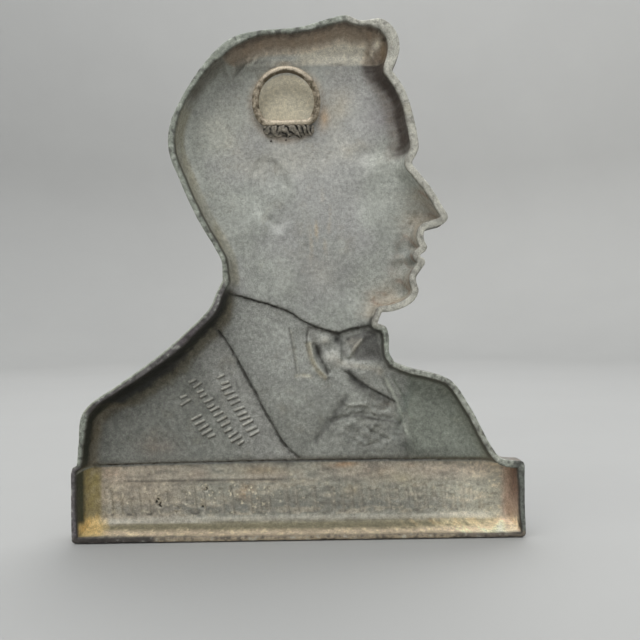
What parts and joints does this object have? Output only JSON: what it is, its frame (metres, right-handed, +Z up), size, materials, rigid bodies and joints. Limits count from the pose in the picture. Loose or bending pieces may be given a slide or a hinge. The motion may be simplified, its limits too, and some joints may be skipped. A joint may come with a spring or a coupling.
{
  "type": "cast iron portrait plaque",
  "caption": "Wall plaque cast hollow and open at the back: a head and shoulders in profile over a plain base band, hung by a wire ring welded inside the head.",
  "frame": {"origin": "the point inside the top of the hanging ring where a wall hook bears", "axes": "+Z up, +Y into the wall (the open back faces +Y), the relief looks towards -Y and the profile looks towards -X"},
  "size_m": [0.3464, 0.032, 0.3996],
  "materials": {
    "cast_iron": "bare sand-cast iron, satin grey with brown rust and ochre dirt in the hollows",
    "ring_steel": "old steel wire, tan with dark brown rust beneath",
    "weld_metal": "dark, coarse, lumpy weld"
  },
  "bodies": {
    "root": {"plaque_casting": "cast_iron", "hanging_ring": "ring_steel", "weld_bead": "weld_metal"}
  },
  "joints": []
}
